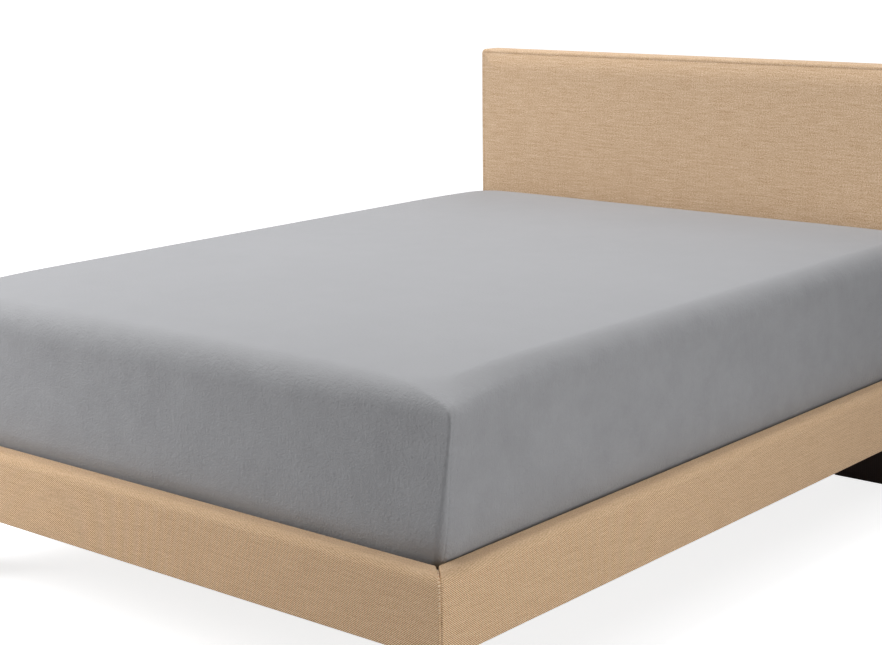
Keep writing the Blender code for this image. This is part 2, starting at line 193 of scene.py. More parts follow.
# Camera and light
CAMERA_PLACE = (2.7538, -3.3867, 1.4505)
CAMERA_YAW = 40.0225
CAMERA_PITCH = 12.1762
CAMERA_ROLL = -0.6409
CAMERA_LENS = 74.59
STUDIO_GLOW = 0.15              # of the walls, in the light that reaches the bed
FLOOR_REACH = 60.0
FLOOR_FADE = (1.5, 6.0)         # metres from the bed over which the floor turns white
FLOOR_GLOW = (0.80, 1.0)
PANEL_REACH = 4.2
PANEL_SIZE = 2.2
PANEL_LIFT = 0.4
PANEL_TARGET = (0.0, -0.2, 0.5)
LOW_PANEL_PLACE = (3.4, -0.8, 0.8)
LOW_PANEL_TARGET = (0.8, -0.6, 0.4)
LOW_PANEL_SIZE = 1.4
LOW_PANEL_WATTS = 27.0
SOFT_PANELS = (                 # name, bearing from the foot, height in degrees, watts
    ("high_left_panel", -120.0, 65.0, 59.0),
    ("back_left_panel", -160.0, 35.0, 35.5),
    ("front_left_panel", -45.0, 25.0, 113.0),
    ("overhead_panel", 0.0, 88.0, 67.0),
    ("high_right_panel", 90.0, 55.0, 24.0),
)


# Node helpers ------------------------------------------------------------------------
def feed(tree, socket, value):
    """A socket's input: another socket's output, or a fixed value."""
    if isinstance(value, bpy.types.NodeSocket):
        tree.links.new(value, socket)
    else:
        socket.default_value = value


def number(tree, operation, first, second=0.0, third=0.0):
    """The result of a math operation on sockets or fixed values."""
    node = tree.nodes.new("ShaderNodeMath")
    node.operation = operation
    for socket, value in zip(node.inputs, (first, second, third)):
        feed(tree, socket, value)
    return node.outputs[0]


def stretched(tree, vector, factors):
    """A vector or a colour times another, part by part."""
    node = tree.nodes.new("ShaderNodeVectorMath")
    node.operation = "MULTIPLY"
    feed(tree, node.inputs[0], vector)
    feed(tree, node.inputs[1], factors)
    return node.outputs[0]


def cloudy(tree, vector, scale, detail=2.0, roughness=0.5):
    """Soft noise about 0.5."""
    node = tree.nodes.new("ShaderNodeTexNoise")
    feed(tree, node.inputs["Vector"], vector)
    feed(tree, node.inputs["Scale"], scale)
    node.inputs["Detail"].default_value = detail
    node.inputs["Roughness"].default_value = roughness
    return node.outputs["Fac"]


def ranged(tree, value, low, high, to_low, to_high):
    """A value taken from one range to another and held inside it."""
    node = tree.nodes.new("ShaderNodeMapRange")
    node.clamp = True
    for socket, entry in zip(node.inputs, (value, low, high, to_low, to_high)):
        feed(tree, socket, entry)
    return node.outputs[0]


def centred(tree, value, strength):
    """A value about 0.5 moved to lie about zero, times a strength."""
    return number(tree, "MULTIPLY", number(tree, "SUBTRACT", value, 0.5), strength)


def split(tree, vector):
    """The three parts of a vector."""
    node = tree.nodes.new("ShaderNodeSeparateXYZ")
    feed(tree, node.inputs[0], vector)
    return node.outputs


def group(name, inputs, outputs):
    """An empty node group, with the sockets of its two ends."""
    tree = bpy.data.node_groups.new(name, "ShaderNodeTree")
    for label, kind, value in inputs:
        socket = tree.interface.new_socket(name=label, in_out="INPUT", socket_type=kind)
        if value is not None:
            socket.default_value = value
    for label in outputs:
        kind = "NodeSocketColor" if label == "Tint" else "NodeSocketFloat"
        tree.interface.new_socket(name=label, in_out="OUTPUT", socket_type=kind)
    start = tree.nodes.new("NodeGroupInput")
    end = tree.nodes.new("NodeGroupOutput")
    return tree, start.outputs, end.inputs


def placed(tree, group_tree, **values):
    """A node group set in a material with its own values; _ in a name is a space."""
    node = tree.nodes.new("ShaderNodeGroup")
    node.node_tree = group_tree
    for label, value in values.items():
        feed(tree, node.inputs[label.replace("_", " ")], value)
    return node.outputs


def finish(name, **sockets):
    """A new material with its Principled shader and tree; _ in a name is a space."""
    material = bpy.data.materials.new(name)
    material.use_nodes = True
    tree = material.node_tree
    shader = tree.nodes["Principled BSDF"]
    for label, value in sockets.items():
        shader.inputs[label.replace("_", " ")].default_value = value
    return material, tree, shader


def object_place(tree):
    """Metres along the object's own axes."""
    return tree.nodes.new("ShaderNodeTexCoord").outputs["Object"]


def cloth_run(tree):
    """Metres along the cloth and across it."""
    node = tree.nodes.new("ShaderNodeUVMap")
    node.uv_map = "cloth_run"
    return node.outputs[0]


def raised(tree, shader, height, distance, strength=1.0):
    """Relief in a shader's normal, from a height."""
    bump = tree.nodes.new("ShaderNodeBump")
    bump.inputs["Strength"].default_value = strength
    bump.inputs["Distance"].default_value = distance
    tree.links.new(height, bump.inputs["Height"])
    tree.links.new(bump.outputs[0], shader.inputs["Normal"])


# Effects shared by the finishes ------------------------------------------------------
def make_soft_blotches():
    """Slow change of shade over a surface, about 1.0."""
    tree, given, out = group(
        "soft_blotches",
        (("Place", "NodeSocketVector", None), ("Size", "NodeSocketFloat", 0.3),
         ("Strength", "NodeSocketFloat", 0.05)),
        ("Shade",))
    scale = number(tree, "DIVIDE", 1.0, given["Size"])
    cloud = cloudy(tree, given["Place"], scale, detail=3.0)
    swing = centred(tree, cloud, given["Strength"])
    tree.links.new(number(tree, "MULTIPLY_ADD", swing, 2.0, 1.0), out["Shade"])
    return tree


def make_woven_cloth():
    """Yarns, a twill line, slubs and specks of an upholstery weave, from its run.

    The dark threads are warmer than the pale ones, so the tint differs by colour.
    """
    tree, given, out = group(
        "woven_cloth",
        (("Run", "NodeSocketVector", None), ("Yarn", "NodeSocketFloat", 0.0009),
         ("Twill Spacing", "NodeSocketFloat", 0.0051),
         ("Twill Slope", "NodeSocketFloat", 1.25),
         ("Twill Strength", "NodeSocketFloat", 0.5),
         ("Slub Strength", "NodeSocketFloat", 0.5),
         ("Speck Strength", "NodeSocketFloat", 0.5)),
        ("Tint", "Height"))
    along, across, _ = split(tree, given["Run"])
    yarn_turn = number(tree, "DIVIDE", math.pi, given["Yarn"])
    warp = number(tree, "SINE", number(tree, "MULTIPLY", along, yarn_turn))
    weft = number(tree, "SINE", number(tree, "MULTIPLY", across, yarn_turn))
    plain = number(tree, "MULTIPLY", warp, weft)
    waver = number(tree, "SUBTRACT", cloudy(tree, given["Run"], 90.0), 0.5)
    leaning = number(tree, "MULTIPLY_ADD", across, given["Twill Slope"], along)
    turn = number(tree, "DIVIDE", math.tau, given["Twill Spacing"])
    phase = number(tree, "MULTIPLY_ADD", waver, 1.6, number(tree, "MULTIPLY", leaning, turn))
    twill = number(tree, "MULTIPLY", number(tree, "SINE", phase), given["Twill Strength"])

    long_slubs = cloudy(tree, stretched(tree, given["Run"], (15.0, 190.0, 1.0)), 1.0)
    tall_slubs = cloudy(tree, stretched(tree, given["Run"], (230.0, 18.0, 1.0)), 1.0)
    slubs = number(tree, "MULTIPLY_ADD", tall_slubs, 0.5, long_slubs)
    slubs = number(tree, "SUBTRACT", slubs, 0.75)
    slubs = number(tree, "MULTIPLY", slubs, given["Slub Strength"])
    specks = centred(tree, cloudy(tree, given["Run"], 330.0, 1.0), given["Speck Strength"])
    uneven = number(tree, "ADD", slubs, specks)
    shade = number(tree, "ADD", number(tree, "ADD", twill, uneven), 1.0)
    shade = number(tree, "MAXIMUM", number(tree, "MULTIPLY_ADD", plain, 0.08, shade), 0.1)
    tint = tree.nodes.new("ShaderNodeCombineXYZ")
    for socket, depth in zip(tint.inputs, THREAD_DEPTHS):
        tree.links.new(number(tree, "POWER", shade, depth), socket)
    tree.links.new(tint.outputs[0], out["Tint"])
    tree.links.new(number(tree, "MULTIPLY_ADD", plain, 0.3, number(tree, "ADD", twill,
                                                                   uneven)),
                   out["Height"])
    return tree


def make_brushed_nap():
    """A short brushed pile: fine fibres, pressed patches, strokes and faint clouds.

    It lies smoother on the flat top of the bed, above Top Height.
    """
    tree, given, out = group(
        "brushed_nap",
        (("Place", "NodeSocketVector", None), ("Patch", "NodeSocketFloat", 0.008),
         ("Patch Strength", "NodeSocketFloat", 0.5),
         ("Stroke Strength", "NodeSocketFloat", 0.3),
         ("Cloud Strength", "NodeSocketFloat", 0.1),
         ("Top Height", "NodeSocketFloat", 0.6)),
        ("Shade", "Height"))
    _, _, up = split(tree, given["Place"])
    calm = ranged(tree, number(tree, "SUBTRACT", up, given["Top Height"]), -0.025, 0.0,
                  1.0, 0.25)
    scale = number(tree, "DIVIDE", 1.0, given["Patch"])
    patches = cloudy(tree, given["Place"], scale, detail=3.0, roughness=0.6)
    patches = centred(tree, patches, calm)
    fibres = centred(tree, cloudy(tree, given["Place"], 240.0, 2.0), calm)
    clouds = centred(tree, cloudy(tree, given["Place"], 15.0, 3.0, 0.6), calm)
    clouds = number(tree, "MULTIPLY", clouds, given["Cloud Strength"])
    brushed = stretched(tree, given["Place"], (160.0, 160.0, 9.0))
    strokes = centred(tree, cloudy(tree, brushed, 1.0), given["Stroke Strength"])
    pressed = number(tree, "MULTIPLY", patches, given["Patch Strength"])
    both = number(tree, "ADD", strokes, pressed)
    shade = number(tree, "ADD", number(tree, "MULTIPLY_ADD", both, 0.06, 1.0), clouds)
    tree.links.new(number(tree, "MULTIPLY_ADD", fibres, 0.03, shade), out["Shade"])
    tree.links.new(number(tree, "MULTIPLY_ADD", fibres, 0.62, both), out["Height"])
    return tree


def make_timber_grain():
    """Rings and pores of a board whose grain runs along its first axis."""
    tree, given, out = group(
        "timber_grain",
        (("Along Grain", "NodeSocketVector", None),
         ("Ring Spacing", "NodeSocketFloat", 0.012),
         ("Strength", "NodeSocketFloat", 0.3)),
        ("Shade", "Height"))
    drawn = stretched(tree, given["Along Grain"], (0.12, 1.0, 1.0))
    wander = cloudy(tree, drawn, 9.0, detail=3.0)
    _, across, up = split(tree, drawn)
    depth = number(tree, "MULTIPLY_ADD", wander, 0.05, number(tree, "ADD", across, up))
    turn = number(tree, "DIVIDE", math.tau, given["Ring Spacing"])
    rings = number(tree, "SINE", number(tree, "MULTIPLY", depth, turn))
    pores = cloudy(tree, stretched(tree, given["Along Grain"], (30.0, 900.0, 900.0)), 1.0)
    mixed = number(tree, "MULTIPLY_ADD", rings, 0.5, number(tree, "SUBTRACT", pores, 0.5))
    shade = number(tree, "MULTIPLY_ADD", mixed, given["Strength"], 1.0)
    tree.links.new(shade, out["Shade"])
    tree.links.new(mixed, out["Height"])
    return tree


soft_blotches = make_soft_blotches()
woven_cloth = make_woven_cloth()
brushed_nap = make_brushed_nap()
timber_grain = make_timber_grain()


# Finishes ----------------------------------------------------------------------------
def shaded(tree, colour, *shades):
    """A colour made lighter or darker by shades about 1.0."""
    shade = shades[0]
    for other in shades[1:]:
        shade = number(tree, "MULTIPLY", shade, other)
    tone = tree.nodes.new("ShaderNodeVectorMath")
    tone.operation = "SCALE"
    tone.inputs[0].default_value = colour
    tree.links.new(shade, tone.inputs["Scale"])
    return tone.outputs[0]


def make_sheet_finish():
    """Grey brushed microfibre."""
    material, tree, shader = finish(
        "grey_brushed_microfibre", Roughness=0.92, Sheen_Weight=0.12,
        Sheen_Roughness=0.45, Sheen_Tint=SHEET_SHEEN, Specular_IOR_Level=0.2)
    place = object_place(tree)
    nap = placed(tree, brushed_nap, Place=place, Patch=0.011, Patch_Strength=0.55,
                 Stroke_Strength=0.22, Cloud_Strength=0.22, Top_Height=SHEET_TOP - 0.010)
    slow = placed(tree, soft_blotches, Place=place, Size=0.25, Strength=0.03)
    tree.links.new(shaded(tree, SHEET_GREY, nap["Shade"], slow["Shade"]),
                   shader.inputs["Base Color"])
    raised(tree, shader, nap["Height"], 0.0020, 1.0)
    return material


def make_upholstery_finish(name, colour, twill, slub, speck):
    """Wheat-coloured woven upholstery."""
    material, tree, shader = finish(
        name, Roughness=0.88, Sheen_Weight=0.1, Sheen_Roughness=0.5,
        Specular_IOR_Level=0.25)
    run = cloth_run(tree)
    weave = placed(tree, woven_cloth, Run=run, Twill_Strength=twill, Slub_Strength=slub,
                   Speck_Strength=speck)
    slow = placed(tree, soft_blotches, Place=run, Size=0.35, Strength=0.03)
    tree.links.new(stretched(tree, weave["Tint"], shaded(tree, colour, slow["Shade"])),
                   shader.inputs["Base Color"])
    raised(tree, shader, weave["Height"], 0.0006, 0.7)
    return material


def make_ticking_finish():
    """Off-white mattress ticking."""
    material, tree, shader = finish(
        "off_white_ticking", Roughness=0.9, Sheen_Weight=0.1, Specular_IOR_Level=0.2)
    run = cloth_run(tree)
    weave = placed(tree, woven_cloth, Run=run, Twill_Strength=0.1, Slub_Strength=0.1,
                   Speck_Strength=0.1)
    tree.links.new(stretched(tree, weave["Tint"], TICKING_WHITE),
                   shader.inputs["Base Color"])
    raised(tree, shader, weave["Height"], 0.0003, 0.6)
    return material


def make_timber_finish(name, colour, roughness, turn, ring, strength):
    """Wood whose grain runs along X, or along another axis after a turn."""
    material, tree, shader = finish(name, Roughness=roughness)
    turned = tree.nodes.new("ShaderNodeVectorRotate")
    turned.rotation_type = "EULER_XYZ"
    turned.inputs["Rotation"].default_value = turn
    tree.links.new(object_place(tree), turned.inputs["Vector"])
    grain = placed(tree, timber_grain, Along_Grain=turned.outputs[0], Ring_Spacing=ring,
                   Strength=strength)
    slow = placed(tree, soft_blotches, Place=object_place(tree), Size=0.2, Strength=0.08)
    tree.links.new(shaded(tree, colour, grain["Shade"], slow["Shade"]),
                   shader.inputs["Base Color"])
    raised(tree, shader, grain["Height"], 0.0004, 0.5)
    return material


def make_thread_finish():
    """Cream sewing thread."""
    material, tree, shader = finish("pale_thread", Roughness=0.7)
    slow = placed(tree, soft_blotches, Place=object_place(tree), Size=0.002, Strength=0.2)
    tree.links.new(shaded(tree, STITCH_CREAM, slow["Shade"]),
                   shader.inputs["Base Color"])
    return material


sheet_finish = make_sheet_finish()
rail_finish = make_upholstery_finish("wheat_twill", RAIL_WHEAT, twill=0.58, slub=0.3,
                                     speck=0.9)
board_finish = make_upholstery_finish("wheat_slub_weave", BOARD_WHEAT, twill=0.0,
                                      slub=0.52, speck=1.4)
ticking_finish = make_ticking_finish()
leg_finish = make_timber_finish("dark_stained_oak", OAK_BROWN, roughness=0.38,
                                turn=(0.0, math.pi / 2, 0.0), ring=0.006, strength=0.5)
cross_timber_finish = make_timber_finish("pale_birch_across", BIRCH_PALE, roughness=0.6,
                                         turn=(0.0, 0.0, 0.0), ring=0.014,
                                         strength=0.12)
long_timber_finish = make_timber_finish("pale_birch_along", BIRCH_PALE, roughness=0.6,
                                        turn=(0.0, 0.0, math.pi / 2), ring=0.014,
                                        strength=0.12)
thread_finish = make_thread_finish()


# Mesh helpers ------------------------------------------------------------------------
def piece(name, points, faces, finish_material, runs=None):
    """A smooth mesh object; runs gives each point its metres along and across."""
    data = bpy.data.meshes.new(name)
    data.from_pydata([tuple(point) for point in points], [], faces)
    data.materials.append(finish_material)
    if runs is not None:
        layer = data.uv_layers.new(name="cloth_run")
        order = np.empty(len(data.loops), dtype=np.int64)
        data.loops.foreach_get("vertex_index", order)
        layer.uv.foreach_set("vector", np.asarray(runs, float)[order].ravel())
    data.validate()
    data.shade_smooth()
    made = bpy.data.objects.new(name, data)
    bpy.context.scene.collection.objects.link(made)
    return made


def wall_faces(row_count, column_count):
    """Quads between closed rings of points, with a cap on the first and the last."""
    faces = []
    for row in range(row_count - 1):
        for i in range(column_count):
            j = (i + 1) % column_count
            low = row * column_count
            high = low + column_count
            faces.append((low + i, high + i, high + j, low + j))
    faces.append(tuple(range(column_count)))
    last = (row_count - 1) * column_count
    faces.append(tuple(range(last + column_count - 1, last - 1, -1)))
    return faces


def ringed_piece(name, rows, finish_material, runs=None):
    """A closed piece from an array of rings of points."""
    faces = wall_faces(rows.shape[0], rows.shape[1])
    return piece(name, rows.reshape(-1, 3), faces, finish_material, runs)


def ease(value):
    """A smooth step from 0.0 to 1.0."""
    value = min(1.0, max(0.0, value))
    return value * value * (3.0 - 2.0 * value)


def blend(first, second, part):
    """A value part of the way from the first to the second."""
    return first + (second - first) * part


def rolled(radius, turn):
    """How far in and how far down a rolled edge lies, at a turn in radians."""
    return radius * (1 - math.sin(turn)), radius * (1 - math.cos(turn))


def waver(x, y, z, size, seed):
    """Smooth change between about -1 and 1 over that size in metres."""
    return noise.noise(Vector((x / size + seed, y / size - seed, z / size + 2 * seed)))


# Fitted sheet ------------------------------------------------------------------------
def fallen(distance):
    """Share of a crown's fall at a distance in from its side, 1.0 at the side."""
    return max(0.0, 1.0 - distance / CROWN_REACH) ** 2


def crown_drop(x, y):
    """How far the crowned top lies below its middle at a place on the bed."""
    beside = fallen(HALF_WIDTH - abs(x)) + fallen(HEAD_Y - y)
    return SIDE_CROWN * beside + FOOT_CROWN * fallen(y - FOOT_Y)


def sheet_rings():
    """What each ring of the sheet does, from the middle of the top to the hem.

    A ring is (inset of sides and head, inset of foot, side drop, foot drop, corner
    radius, lean of the seam, depth of the seam, swell, part of the way down). Its
    drops are below the crowned top, until part is above zero.
    """
    rings = []
    for inset in TOP_INSETS:
        rings.append((inset, inset, 0.0, 0.0, CORNER_ROUND_TOP, 0.0, 0.0, 0.0, 0.0))
    for step in range(ROLL_STEPS + 1):
        degrees = 90.0 * step / ROLL_STEPS
        turn = math.radians(degrees)
        side_in, side_drop = rolled(SIDE_EDGE_ROUND, turn)
        foot_in, foot_drop = rolled(FOOT_EDGE_ROUND, turn)
        open_out = (1 - math.sin(turn)) ** 1.5
        radius = blend(CORNER_ROUND_SEAM, CORNER_ROUND_TOP, open_out)
        lean = SEAM_LEAN_TOP * ease(degrees / SEAM_TOP_ANGLE)
        depth = SEAM_DEPTH * ease((degrees - SEAM_TOP_ANGLE) / SEAM_DEEPENS_OVER)
        rings.append((side_in, foot_in, side_drop, foot_drop, radius, lean, depth, 0.0,
                      0.0))
    for step in range(1, SIDE_STEPS + 1):
        part = step / SIDE_STEPS
        radius = blend(CORNER_ROUND_SEAM, CORNER_ROUND_LOW, part * part)
        lean = blend(SEAM_LEAN_TOP, SEAM_LEAN_LOW, part)
        swell = SIDE_SWELL * math.sin(math.pi * part ** 1.5)
        rings.append((0.0, 0.0, SIDE_EDGE_ROUND, FOOT_EDGE_ROUND, radius, lean,
                      SEAM_DEPTH, swell, part))
    for step in range(1, TURN_STEPS + 1):
        turn = math.radians(90 * step / TURN_STEPS)
        inset = BOTTOM_EDGE_ROUND * (1 - math.cos(turn))
        drop = BOTTOM_EDGE_ROUND * math.sin(turn)
        depth = SEAM_DEPTH * math.cos(turn)
        rings.append((inset, inset, drop, drop, CORNER_ROUND_LOW, SEAM_LEAN_LOW, depth,
                      0.0, 2.0))
    for inset in (0.5 * (BOTTOM_EDGE_ROUND + RETURN_WIDTH), RETURN_WIDTH - HEM_WIDTH,
                  RETURN_WIDTH - 0.8 * HEM_WIDTH, RETURN_WIDTH):
        drop = BOTTOM_EDGE_ROUND
        rings.append((inset, inset, drop, drop, CORNER_ROUND_LOW, SEAM_LEAN_LOW, 0.0, 0.0,
                      2.0))
    return rings


def sheet_columns(side_in, foot_in, radius, lean):
    """Points round one ring: (x, y, outward x, outward y, seam distance, swell)."""
    x_right = HALF_WIDTH - side_in
    y_foot = FOOT_Y + foot_in
    y_head = HEAD_Y - side_in
    corners = (
        (x_right - radius, y_foot + radius, -45.0, 1),
        (x_right - radius, y_head - radius, 45.0, -1),
        (-x_right + radius, y_head - radius, 135.0, 1),
        (-x_right + radius, y_foot + radius, 225.0, -1),
    )
    offsets = [-offset for offset in SEAM_OFFSETS[:0:-1]] + list(SEAM_OFFSETS)
    half_arc = radius * math.pi / 4
    bends = []
    for centre_x, centre_y, middle, long_side in corners:
        bend = []
        for offset in offsets:
            fade = 1 - ease(abs(offset) / SEAM_OFFSETS[-1])
            along = offset + long_side * lean * fade
            on_arc = min(half_arc, max(-half_arc, along))
            turn = math.radians(middle) + on_arc / radius
            past = along - on_arc
            x = centre_x + radius * math.cos(turn) - past * math.sin(turn)
            y = centre_y + radius * math.sin(turn) + past * math.cos(turn)
            bend.append((x, y, math.cos(turn), math.sin(turn), offset * long_side, 0.0))
        bends.append(bend)
    columns = []
    steps_of = (LONG_COLUMNS, HEAD_COLUMNS, LONG_COLUMNS, FOOT_COLUMNS)
    for which, steps in enumerate(steps_of):
        bend = bends[which]
        after = bends[(which + 1) % 4][0]
        columns += bend
        behind = bend[-1]
        for i in range(1, steps):
            part = i / steps
            even = part - COLUMN_CROWDING * math.sin(2 * math.pi * part)
            swell = math.sin(math.pi * even) ** 0.5
            columns.append((blend(behind[0], after[0], even),
                            blend(behind[1], after[1], even),
                            behind[2], behind[3], 1.0, swell))
    return columns


def seam_relief(x, y, z, seam):
    """The dip of a corner seam and the small puckers that its thread draws up."""
    beside = math.exp(-((seam - PUCKER_PLACE) / PUCKER_PLACE) ** 2)
    stray = PUCKER_WANDER * waver(x, y, z, PUCKER_WANDER_SIZE, seed=3.1)
    pucker = math.sin(math.tau * z / PUCKER_SPACING + stray)
    dip = SEAM_DEPTH * math.exp(-(seam / SEAM_WIDTH) ** 2)
    return beside * (PUCKER_HEIGHT * pucker + PUCKER_HEIGHT) - dip


def corner_ear(x, y, z):
    """How far a corner stands out sideways, most at the top end of its seam."""
    rise = (z - RAIL_TOP) / (SHEET_TOP - RAIL_TOP)
    push = blend(EAR_PUSH_LOW, EAR_PUSH, rise)
    push *= ease((SHEET_TOP - EAR_TOP - z) / EAR_TOP_FADE)
    push *= ease((z - RAIL_TOP + EAR_FOOT) / EAR_FOOT_FADE)
    across = 1.0 - ease((HALF_WIDTH - abs(x)) / EAR_WIDTH)
    beyond = min(y - FOOT_Y, HEAD_Y - y)
    ear = 1.0 - ease(beyond / EAR_REACH)
    flare = 1.0 - ease(beyond / FLARE_REACH)
    near = (1.0 - FLARE_SHARE) * ear + FLARE_SHARE * flare
    return push * across * near


def lower_tuck(x, y, z):
    """How far the cloth is drawn in at its foot, most at the corners of short sides."""
    low = ease((RAIL_TOP + TUCK_HEIGHT - z) / TUCK_HEIGHT) ** 1.5
    from_side = HALF_WIDTH - abs(x)
    from_end = min(y - FOOT_Y, HEAD_Y - y)
    away = math.hypot(from_side, TUCK_NARROWING * from_end)
    near = math.exp(-(away / TUCK_REACH) ** 2)
    toward_end = ease((from_side - from_end + TUCK_CHANGE / 2) / TUCK_CHANGE)
    drawn_in = blend(SIDE_TUCK, END_TUCK, toward_end)
    all_round = drawn_in * ease((RAIL_TOP + EDGE_TUCK_HEIGHT - z) / EDGE_TUCK_FADE)
    return TUCK_DEPTH * low * near + all_round


def corner_tighten(x, toward_end):
    """How much tighter the short sides' top edges roll close to a corner."""
    near = math.exp(-((HALF_WIDTH - abs(x)) / TIGHT_REACH) ** 2)
    return TIGHTER_BY * near * toward_end


def sheet_point(ring, column, ear_share):
    """Where one column of the sheet crosses one of its rings."""
    side_in, _, side_drop, foot_drop, _, _, depth, swell_out, part = ring
    x, y, out_x, out_y, seam, swell = column
    end = SHEET_BOTTOM + BOTTOM_EDGE_ROUND
    toward_foot = max(0.0, -out_y) ** 2
    drop = blend(side_drop, foot_drop, toward_foot)
    tight = corner_tighten(x, out_y * out_y) * (part <= 1.0)
    drop -= tight * min(1.0, drop / SIDE_EDGE_ROUND)
    if part > 1.0:
        z = end - drop
    else:
        z = blend(SHEET_TOP - crown_drop(x, y) - drop, end, part)
    reach_in = min(1.0, side_in / SIDE_EDGE_ROUND)
    fade = max(0.0, 1.0 - max(0.0, side_in - SIDE_EDGE_ROUND) / TIGHT_FADE)
    shift = swell_out * swell - lower_tuck(x, y, z) + tight * reach_in * fade
    if depth:
        shift += seam_relief(x, y, z, seam) * depth / SEAM_DEPTH
    peak_z = SHEET_TOP - PEAK_DROP
    peak = math.exp(-(seam / PEAK_WIDTH) ** 2 - ((z - peak_z) / PEAK_TALL) ** 2)
    shift += PEAK_HEIGHT * peak
    slack = ease((SHEET_TOP - SLACK_TOP - z) / SLACK_FADE) * (part <= 1.0)
    shift += slack * SLACK * waver(x, y, z, SLACK_SIZE, seed=1.7)
    push = math.copysign(ear_share * corner_ear(x, y, z), x)
    return x + out_x * shift + push, y + out_y * shift, z


def sheet_grid(ear_share=1.0):
    """The outer face of the sheet as rows of points."""
    rows = []
    for ring in sheet_rings():
        side_in, foot_in, _, _, radius, lean, _, _, _ = ring
        columns = sheet_columns(side_in, foot_in, radius, lean)
        rows.append([sheet_point(ring, column, ear_share) for column in columns])
    return np.array(rows)


def outward_normals(grid):
    """Unit normals of rows of points that close round, from their neighbours."""
    along = np.roll(grid, -1, axis=1) - np.roll(grid, 1, axis=1)
    down = np.gradient(grid, axis=0)
    normals = np.cross(down, along)
    return normals / np.linalg.norm(normals, axis=2, keepdims=True)


def hem_ripple(grid):
    """The elastic draws the rings of the return in small gathers."""
    count = grid.shape[1]
    for row, strength in ((-4, 0.4), (-3, 1.0), (-2, 1.0), (-1, 1.0)):
        for i in range(count):
            x, y, z = grid[row, i]
            lift = HEM_GATHER * strength * waver(x, y, z, HEM_GATHER_SIZE, seed=5.3)
            length = math.hypot(x, y)
            grid[row, i, 0] -= x / length * lift
            grid[row, i, 1] -= y / length * lift
    return grid


def make_sheet():
    """The fitted sheet: its outer face, its inner face and the thicker hem."""
    outer = hem_ripple(sheet_grid())
    normals = outward_normals(outer)
    thickness = np.full(outer.shape[0], CLOTH_THICKNESS)
    thickness[-2:] = HEM_THICKNESS
    inner = outer - normals * thickness[:, None, None]
    inner[-4:, :, 2] = outer[-4:, :, 2] + thickness[-4:, None]
    inner[-4:, :, :2] = outer[-4:, :, :2]
    rows = np.concatenate([outer, inner[::-1]])
    return ringed_piece("fitted_sheet_cloth", rows, sheet_finish)


def make_mattress():
    """The mattress in the sheet, smaller all round; it doesn't fill the sheet's corners."""
    gap = CLOTH_THICKNESS + MATTRESS_GAP
    outer = sheet_grid(MATTRESS_EAR_SHARE)[:-4:2]
    rows = outer - outward_normals(outer) * gap
    rows[-1, :, 2] = SHEET_BOTTOM + HEM_THICKNESS + MATTRESS_LIFT
    lengths = np.linalg.norm(np.diff(rows, axis=0), axis=2).mean(axis=1)
    down = np.concatenate([[0.0], np.cumsum(lengths)])
    around = np.linalg.norm(np.diff(rows[-1], axis=0), axis=1)
    along = np.concatenate([[0.0], np.cumsum(around)])
    runs = [(u, v) for v in down for u in along]
    return ringed_piece("mattress_body", rows, ticking_finish, runs)


# Upholstered rails -------------------------------------------------------------------
def arc(centre_out, centre_z, radius, start, end, steps):
    """Points as (out, z, outward out, outward z) from one angle in degrees to another."""
    points = []
    for i in range(steps + 1):
        turn = math.radians(blend(start, end, i / steps))
        points.append((centre_out + radius * math.cos(turn),
                       centre_z + radius * math.sin(turn),
                       math.cos(turn), math.sin(turn)))
    return points


def rail_section():
    """Section as (out, z, outward out, outward z), from the inner foot up and over."""
    section = [(0.0, blend(RAIL_LOW, RAIL_TOP - RAIL_INNER_ROUND, i / 6), -1.0, 0.0)
               for i in range(6)]
    section += arc(RAIL_INNER_ROUND, RAIL_TOP - RAIL_INNER_ROUND, RAIL_INNER_ROUND,
                   180, 90, 6)
    section += arc(RAIL_THICKNESS - RAIL_OUTER_ROUND, RAIL_TOP - RAIL_OUTER_ROUND,
                   RAIL_OUTER_ROUND, 90, 0, 10)
    top = RAIL_TOP - RAIL_OUTER_ROUND
    low = RAIL_LOW + RAIL_BOTTOM_ROUND
    section += [(RAIL_THICKNESS, blend(top, low, i / 12), 1.0, 0.0) for i in range(1, 12)]
    section += arc(RAIL_THICKNESS - RAIL_BOTTOM_ROUND, low, RAIL_BOTTOM_ROUND, 0, -90, 4)
    section += [(blend(RAIL_THICKNESS - RAIL_BOTTOM_ROUND, 0.0, i / 3), RAIL_LOW, 0.0, -1.0)
                for i in range(1, 3)]
    return section


def section_runs(section):
    """Metres round a section from its start, at each of its points."""
    runs = [0.0]
    for first, second in zip(section, section[1:]):
        runs.append(runs[-1] + math.hypot(second[0] - first[0], second[1] - first[1]))
    return runs


def roll_distances(mitred):
    """Distances from a rail's end, with how far the cover has rolled in at each."""
    rolls = []
    for i in range(MITRE_STEPS):
        turn = math.radians(90 * i / MITRE_STEPS)
        depth = MITRE_DEPTH if mitred else 0.0
        rolls.append((MITRE_ROLL * (1 - math.cos(turn)), depth * (1 - math.sin(turn))))
    rolls.append((MITRE_ROLL, 0.0))
    return rolls


